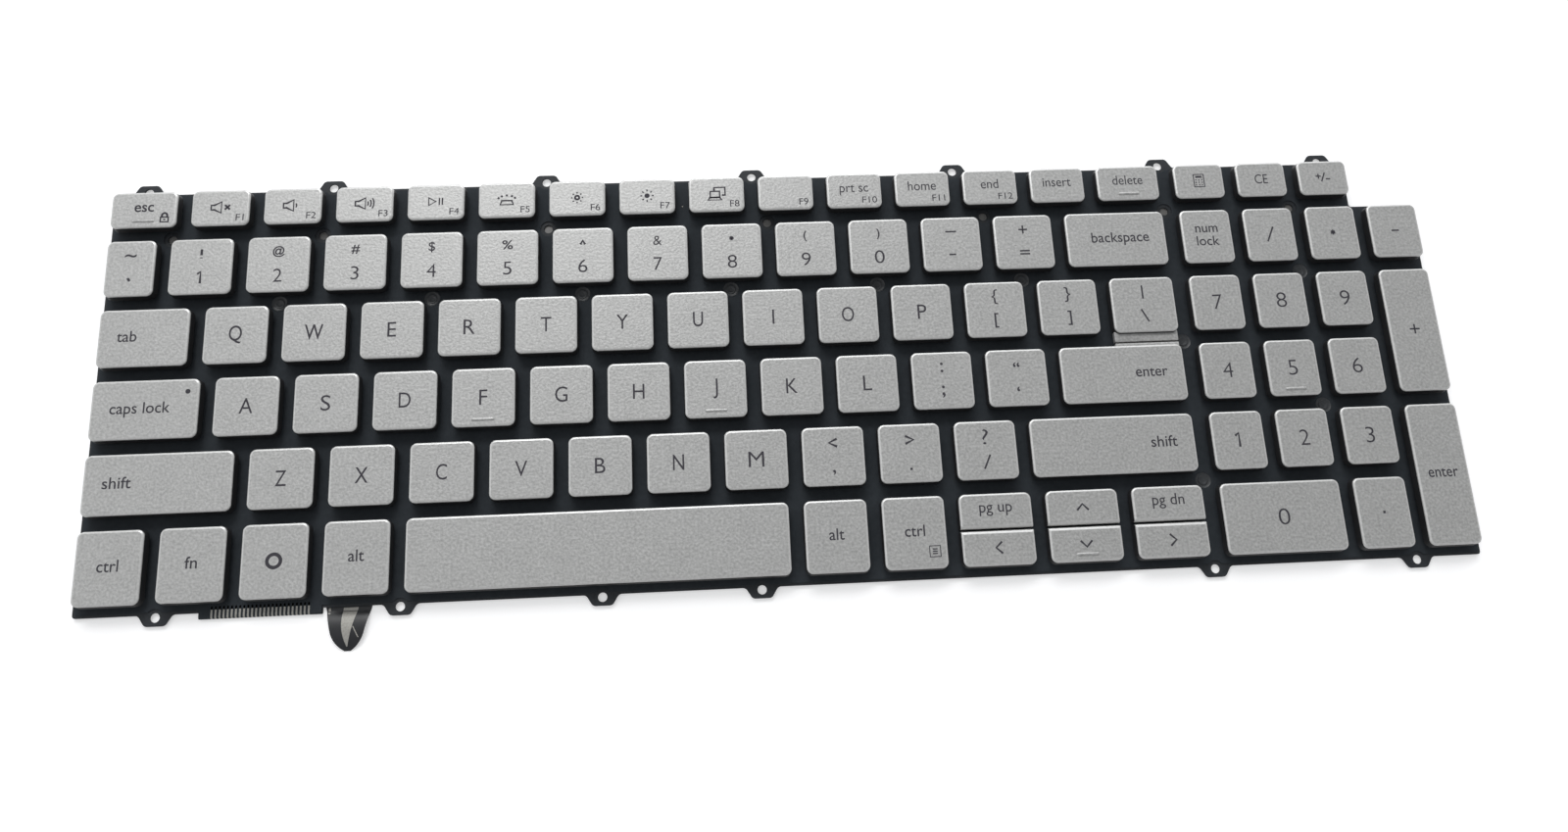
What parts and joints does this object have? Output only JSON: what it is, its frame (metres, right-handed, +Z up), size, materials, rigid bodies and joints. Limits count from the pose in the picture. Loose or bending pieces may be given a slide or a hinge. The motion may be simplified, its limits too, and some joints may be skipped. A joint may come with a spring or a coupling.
{
  "type": "laptop keyboard",
  "caption": "Bare replacement keyboard for a laptop: silver caps with a number pad on scissors and rubber domes over a thin black plate with screw ears and film ribbons.",
  "frame": {"origin": "under the middle of the key field, on the flat underside", "axes": "+X along the rows to the number pad, +Y towards the function row, +Z up through the keys"},
  "size_m": [0.3364, 0.1186, 0.0052],
  "materials": {
    "silver_cap": "pearl paint",
    "black_plate": "satin",
    "black_film": "satin",
    "light_guide_film": "clear over a grey mask",
    "ribbon_film": "gloss",
    "dome_rubber": "matte",
    "scissor_plastic": "matte",
    "steel_wire": "drawn"
  },
  "bodies": {
    "frame": {"light_guide": "light_guide_film", "base_plate": "black_plate", "membrane_circuit": "black_film", "backlight_ribbon": "ribbon_film", "rubber_domes": "dome_rubber", "scissor_outer_frames": "scissor_plastic", "scissor_inner_frames": "scissor_plastic", "upper_row_keys": "silver_cap", "number_pad_keys": "silver_cap", "navigation_keys": "silver_cap"},
    "cap_tab": {"key_tab": "silver_cap"},
    "cap_q": {"key_q": "silver_cap"},
    "cap_w": {"key_w": "silver_cap"},
    "cap_e": {"key_e": "silver_cap"},
    "cap_r": {"key_r": "silver_cap"},
    "cap_t": {"key_t": "silver_cap"},
    "cap_y": {"key_y": "silver_cap"},
    "cap_u": {"key_u": "silver_cap"},
    "cap_i": {"key_i": "silver_cap"},
    "cap_o": {"key_o": "silver_cap"},
    "cap_p": {"key_p": "silver_cap"},
    "cap_left_bracket": {"key_left_bracket": "silver_cap"},
    "cap_right_bracket": {"key_right_bracket": "silver_cap"},
    "cap_backslash": {"key_backslash": "silver_cap"},
    "cap_caps_lock": {"key_caps_lock": "silver_cap"},
    "cap_a": {"key_a": "silver_cap"},
    "cap_s": {"key_s": "silver_cap"},
    "cap_d": {"key_d": "silver_cap"},
    "cap_f": {"key_f": "silver_cap"},
    "cap_g": {"key_g": "silver_cap"},
    "cap_h": {"key_h": "silver_cap"},
    "cap_j": {"key_j": "silver_cap"},
    "cap_k": {"key_k": "silver_cap"},
    "cap_l": {"key_l": "silver_cap"},
    "cap_semicolon": {"key_semicolon": "silver_cap"},
    "cap_quote": {"key_quote": "silver_cap"},
    "cap_enter": {"key_enter": "silver_cap"},
    "cap_left_shift": {"key_left_shift": "silver_cap"},
    "cap_z": {"key_z": "silver_cap"},
    "cap_x": {"key_x": "silver_cap"},
    "cap_c": {"key_c": "silver_cap"},
    "cap_v": {"key_v": "silver_cap"},
    "cap_b": {"key_b": "silver_cap"},
    "cap_n": {"key_n": "silver_cap"},
    "cap_m": {"key_m": "silver_cap"},
    "cap_comma": {"key_comma": "silver_cap"},
    "cap_period": {"key_period": "silver_cap"},
    "cap_slash": {"key_slash": "silver_cap"},
    "cap_right_shift": {"key_right_shift": "silver_cap"},
    "cap_left_ctrl": {"key_left_ctrl": "silver_cap"},
    "cap_fn": {"key_fn": "silver_cap"},
    "cap_start": {"key_start": "silver_cap"},
    "cap_left_alt": {"key_left_alt": "silver_cap"},
    "cap_space": {"key_space": "silver_cap"},
    "cap_right_alt": {"key_right_alt": "silver_cap"},
    "cap_right_ctrl": {"key_right_ctrl": "silver_cap"},
    "stabiliser_enter": {"wire_enter": "steel_wire"},
    "stabiliser_left_shift": {"wire_left_shift": "steel_wire"},
    "stabiliser_right_shift": {"wire_right_shift": "steel_wire"},
    "stabiliser_space": {"wire_space": "steel_wire"}
  },
  "joints": [
    {"name": "press_tab", "type": "slide", "parent": "frame", "child": "cap_tab", "axis": [0, 0, -1], "range_m": [0, 0.0013], "stiffness_N_per_m": 460, "deforming": ["rubber_domes", "scissor_outer_frames", "scissor_inner_frames"]},
    {"name": "press_q", "type": "slide", "parent": "frame", "child": "cap_q", "axis": [0, 0, -1], "range_m": [0, 0.0013], "stiffness_N_per_m": 460, "deforming": ["rubber_domes", "scissor_outer_frames", "scissor_inner_frames"]},
    {"name": "press_w", "type": "slide", "parent": "frame", "child": "cap_w", "axis": [0, 0, -1], "range_m": [0, 0.0013], "stiffness_N_per_m": 460, "deforming": ["rubber_domes", "scissor_outer_frames", "scissor_inner_frames"]},
    {"name": "press_e", "type": "slide", "parent": "frame", "child": "cap_e", "axis": [0, 0, -1], "range_m": [0, 0.0013], "stiffness_N_per_m": 460, "deforming": ["rubber_domes", "scissor_outer_frames", "scissor_inner_frames"]},
    {"name": "press_r", "type": "slide", "parent": "frame", "child": "cap_r", "axis": [0, 0, -1], "range_m": [0, 0.0013], "stiffness_N_per_m": 460, "deforming": ["rubber_domes", "scissor_outer_frames", "scissor_inner_frames"]},
    {"name": "press_t", "type": "slide", "parent": "frame", "child": "cap_t", "axis": [0, 0, -1], "range_m": [0, 0.0013], "stiffness_N_per_m": 460, "deforming": ["rubber_domes", "scissor_outer_frames", "scissor_inner_frames"]},
    {"name": "press_y", "type": "slide", "parent": "frame", "child": "cap_y", "axis": [0, 0, -1], "range_m": [0, 0.0013], "stiffness_N_per_m": 460, "deforming": ["rubber_domes", "scissor_outer_frames", "scissor_inner_frames"]},
    {"name": "press_u", "type": "slide", "parent": "frame", "child": "cap_u", "axis": [0, 0, -1], "range_m": [0, 0.0013], "stiffness_N_per_m": 460, "deforming": ["rubber_domes", "scissor_outer_frames", "scissor_inner_frames"]},
    {"name": "press_i", "type": "slide", "parent": "frame", "child": "cap_i", "axis": [0, 0, -1], "range_m": [0, 0.0013], "stiffness_N_per_m": 460, "deforming": ["rubber_domes", "scissor_outer_frames", "scissor_inner_frames"]},
    {"name": "press_o", "type": "slide", "parent": "frame", "child": "cap_o", "axis": [0, 0, -1], "range_m": [0, 0.0013], "stiffness_N_per_m": 460, "deforming": ["rubber_domes", "scissor_outer_frames", "scissor_inner_frames"]},
    {"name": "press_p", "type": "slide", "parent": "frame", "child": "cap_p", "axis": [0, 0, -1], "range_m": [0, 0.0013], "stiffness_N_per_m": 460, "deforming": ["rubber_domes", "scissor_outer_frames", "scissor_inner_frames"]},
    {"name": "press_left_bracket", "type": "slide", "parent": "frame", "child": "cap_left_bracket", "axis": [0, 0, -1], "range_m": [0, 0.0013], "stiffness_N_per_m": 460, "deforming": ["rubber_domes", "scissor_outer_frames", "scissor_inner_frames"]},
    {"name": "press_right_bracket", "type": "slide", "parent": "frame", "child": "cap_right_bracket", "axis": [0, 0, -1], "range_m": [0, 0.0013], "stiffness_N_per_m": 460, "deforming": ["rubber_domes", "scissor_outer_frames", "scissor_inner_frames"]},
    {"name": "press_backslash", "type": "slide", "parent": "frame", "child": "cap_backslash", "axis": [0, 0, -1], "range_m": [0, 0.0013], "stiffness_N_per_m": 460, "deforming": ["rubber_domes", "scissor_outer_frames", "scissor_inner_frames"]},
    {"name": "press_caps_lock", "type": "slide", "parent": "frame", "child": "cap_caps_lock", "axis": [0, 0, -1], "range_m": [0, 0.0013], "stiffness_N_per_m": 460, "deforming": ["rubber_domes", "scissor_outer_frames", "scissor_inner_frames"]},
    {"name": "press_a", "type": "slide", "parent": "frame", "child": "cap_a", "axis": [0, 0, -1], "range_m": [0, 0.0013], "stiffness_N_per_m": 460, "deforming": ["rubber_domes", "scissor_outer_frames", "scissor_inner_frames"]},
    {"name": "press_s", "type": "slide", "parent": "frame", "child": "cap_s", "axis": [0, 0, -1], "range_m": [0, 0.0013], "stiffness_N_per_m": 460, "deforming": ["rubber_domes", "scissor_outer_frames", "scissor_inner_frames"]},
    {"name": "press_d", "type": "slide", "parent": "frame", "child": "cap_d", "axis": [0, 0, -1], "range_m": [0, 0.0013], "stiffness_N_per_m": 460, "deforming": ["rubber_domes", "scissor_outer_frames", "scissor_inner_frames"]},
    {"name": "press_f", "type": "slide", "parent": "frame", "child": "cap_f", "axis": [0, 0, -1], "range_m": [0, 0.0013], "stiffness_N_per_m": 460, "deforming": ["rubber_domes", "scissor_outer_frames", "scissor_inner_frames"]},
    {"name": "press_g", "type": "slide", "parent": "frame", "child": "cap_g", "axis": [0, 0, -1], "range_m": [0, 0.0013], "stiffness_N_per_m": 460, "deforming": ["rubber_domes", "scissor_outer_frames", "scissor_inner_frames"]},
    {"name": "press_h", "type": "slide", "parent": "frame", "child": "cap_h", "axis": [0, 0, -1], "range_m": [0, 0.0013], "stiffness_N_per_m": 460, "deforming": ["rubber_domes", "scissor_outer_frames", "scissor_inner_frames"]},
    {"name": "press_j", "type": "slide", "parent": "frame", "child": "cap_j", "axis": [0, 0, -1], "range_m": [0, 0.0013], "stiffness_N_per_m": 460, "deforming": ["rubber_domes", "scissor_outer_frames", "scissor_inner_frames"]},
    {"name": "press_k", "type": "slide", "parent": "frame", "child": "cap_k", "axis": [0, 0, -1], "range_m": [0, 0.0013], "stiffness_N_per_m": 460, "deforming": ["rubber_domes", "scissor_outer_frames", "scissor_inner_frames"]},
    {"name": "press_l", "type": "slide", "parent": "frame", "child": "cap_l", "axis": [0, 0, -1], "range_m": [0, 0.0013], "stiffness_N_per_m": 460, "deforming": ["rubber_domes", "scissor_outer_frames", "scissor_inner_frames"]},
    {"name": "press_semicolon", "type": "slide", "parent": "frame", "child": "cap_semicolon", "axis": [0, 0, -1], "range_m": [0, 0.0013], "stiffness_N_per_m": 460, "deforming": ["rubber_domes", "scissor_outer_frames", "scissor_inner_frames"]},
    {"name": "press_quote", "type": "slide", "parent": "frame", "child": "cap_quote", "axis": [0, 0, -1], "range_m": [0, 0.0013], "stiffness_N_per_m": 460, "deforming": ["rubber_domes", "scissor_outer_frames", "scissor_inner_frames"]},
    {"name": "press_enter", "type": "slide", "parent": "frame", "child": "cap_enter", "axis": [0, 0, -1], "range_m": [0, 0.0013], "stiffness_N_per_m": 460, "deforming": ["rubber_domes", "scissor_outer_frames", "scissor_inner_frames"]},
    {"name": "press_left_shift", "type": "slide", "parent": "frame", "child": "cap_left_shift", "axis": [0, 0, -1], "range_m": [0, 0.0013], "stiffness_N_per_m": 460, "deforming": ["rubber_domes", "scissor_outer_frames", "scissor_inner_frames"]},
    {"name": "press_z", "type": "slide", "parent": "frame", "child": "cap_z", "axis": [0, 0, -1], "range_m": [0, 0.0013], "stiffness_N_per_m": 460, "deforming": ["rubber_domes", "scissor_outer_frames", "scissor_inner_frames"]},
    {"name": "press_x", "type": "slide", "parent": "frame", "child": "cap_x", "axis": [0, 0, -1], "range_m": [0, 0.0013], "stiffness_N_per_m": 460, "deforming": ["rubber_domes", "scissor_outer_frames", "scissor_inner_frames"]},
    {"name": "press_c", "type": "slide", "parent": "frame", "child": "cap_c", "axis": [0, 0, -1], "range_m": [0, 0.0013], "stiffness_N_per_m": 460, "deforming": ["rubber_domes", "scissor_outer_frames", "scissor_inner_frames"]},
    {"name": "press_v", "type": "slide", "parent": "frame", "child": "cap_v", "axis": [0, 0, -1], "range_m": [0, 0.0013], "stiffness_N_per_m": 460, "deforming": ["rubber_domes", "scissor_outer_frames", "scissor_inner_frames"]},
    {"name": "press_b", "type": "slide", "parent": "frame", "child": "cap_b", "axis": [0, 0, -1], "range_m": [0, 0.0013], "stiffness_N_per_m": 460, "deforming": ["rubber_domes", "scissor_outer_frames", "scissor_inner_frames"]},
    {"name": "press_n", "type": "slide", "parent": "frame", "child": "cap_n", "axis": [0, 0, -1], "range_m": [0, 0.0013], "stiffness_N_per_m": 460, "deforming": ["rubber_domes", "scissor_outer_frames", "scissor_inner_frames"]},
    {"name": "press_m", "type": "slide", "parent": "frame", "child": "cap_m", "axis": [0, 0, -1], "range_m": [0, 0.0013], "stiffness_N_per_m": 460, "deforming": ["rubber_domes", "scissor_outer_frames", "scissor_inner_frames"]},
    {"name": "press_comma", "type": "slide", "parent": "frame", "child": "cap_comma", "axis": [0, 0, -1], "range_m": [0, 0.0013], "stiffness_N_per_m": 460, "deforming": ["rubber_domes", "scissor_outer_frames", "scissor_inner_frames"]},
    {"name": "press_period", "type": "slide", "parent": "frame", "child": "cap_period", "axis": [0, 0, -1], "range_m": [0, 0.0013], "stiffness_N_per_m": 460, "deforming": ["rubber_domes", "scissor_outer_frames", "scissor_inner_frames"]},
    {"name": "press_slash", "type": "slide", "parent": "frame", "child": "cap_slash", "axis": [0, 0, -1], "range_m": [0, 0.0013], "stiffness_N_per_m": 460, "deforming": ["rubber_domes", "scissor_outer_frames", "scissor_inner_frames"]},
    {"name": "press_right_shift", "type": "slide", "parent": "frame", "child": "cap_right_shift", "axis": [0, 0, -1], "range_m": [0, 0.0013], "stiffness_N_per_m": 460, "deforming": ["rubber_domes", "scissor_outer_frames", "scissor_inner_frames"]},
    {"name": "press_left_ctrl", "type": "slide", "parent": "frame", "child": "cap_left_ctrl", "axis": [0, 0, -1], "range_m": [0, 0.0013], "stiffness_N_per_m": 460, "deforming": ["rubber_domes", "scissor_outer_frames", "scissor_inner_frames"]},
    {"name": "press_fn", "type": "slide", "parent": "frame", "child": "cap_fn", "axis": [0, 0, -1], "range_m": [0, 0.0013], "stiffness_N_per_m": 460, "deforming": ["rubber_domes", "scissor_outer_frames", "scissor_inner_frames"]},
    {"name": "press_start", "type": "slide", "parent": "frame", "child": "cap_start", "axis": [0, 0, -1], "range_m": [0, 0.0013], "stiffness_N_per_m": 460, "deforming": ["rubber_domes", "scissor_outer_frames", "scissor_inner_frames"]},
    {"name": "press_left_alt", "type": "slide", "parent": "frame", "child": "cap_left_alt", "axis": [0, 0, -1], "range_m": [0, 0.0013], "stiffness_N_per_m": 460, "deforming": ["rubber_domes", "scissor_outer_frames", "scissor_inner_frames"]},
    {"name": "press_space", "type": "slide", "parent": "frame", "child": "cap_space", "axis": [0, 0, -1], "range_m": [0, 0.0013], "stiffness_N_per_m": 460, "deforming": ["rubber_domes", "scissor_outer_frames", "scissor_inner_frames"]},
    {"name": "press_right_alt", "type": "slide", "parent": "frame", "child": "cap_right_alt", "axis": [0, 0, -1], "range_m": [0, 0.0013], "stiffness_N_per_m": 460, "deforming": ["rubber_domes", "scissor_outer_frames", "scissor_inner_frames"]},
    {"name": "press_right_ctrl", "type": "slide", "parent": "frame", "child": "cap_right_ctrl", "axis": [0, 0, -1], "range_m": [0, 0.0013], "stiffness_N_per_m": 460, "deforming": ["rubber_domes", "scissor_outer_frames", "scissor_inner_frames"]},
    {"name": "swing_enter", "type": "hinge", "parent": "frame", "child": "stabiliser_enter", "pos_m": [0, -0.00737, 0.00165], "axis": [-1, 0, 0], "range_deg": [0, 9.5]},
    {"name": "swing_left_shift", "type": "hinge", "parent": "frame", "child": "stabiliser_left_shift", "pos_m": [0, -0.02542, 0.00165], "axis": [-1, 0, 0], "range_deg": [0, 9.5]},
    {"name": "swing_right_shift", "type": "hinge", "parent": "frame", "child": "stabiliser_right_shift", "pos_m": [0, -0.02542, 0.00165], "axis": [-1, 0, 0], "range_deg": [0, 9.5]},
    {"name": "swing_space", "type": "hinge", "parent": "frame", "child": "stabiliser_space", "pos_m": [0, -0.04347, 0.00165], "axis": [-1, 0, 0], "range_deg": [0, 9.5]}
  ],
  "couplings": [
    {"joint": "swing_enter", "follows": "press_enter", "rad_per_m": 123.13},
    {"joint": "swing_left_shift", "follows": "press_left_shift", "rad_per_m": 123.13},
    {"joint": "swing_right_shift", "follows": "press_right_shift", "rad_per_m": 123.13},
    {"joint": "swing_space", "follows": "press_space", "rad_per_m": 123.13}
  ]
}
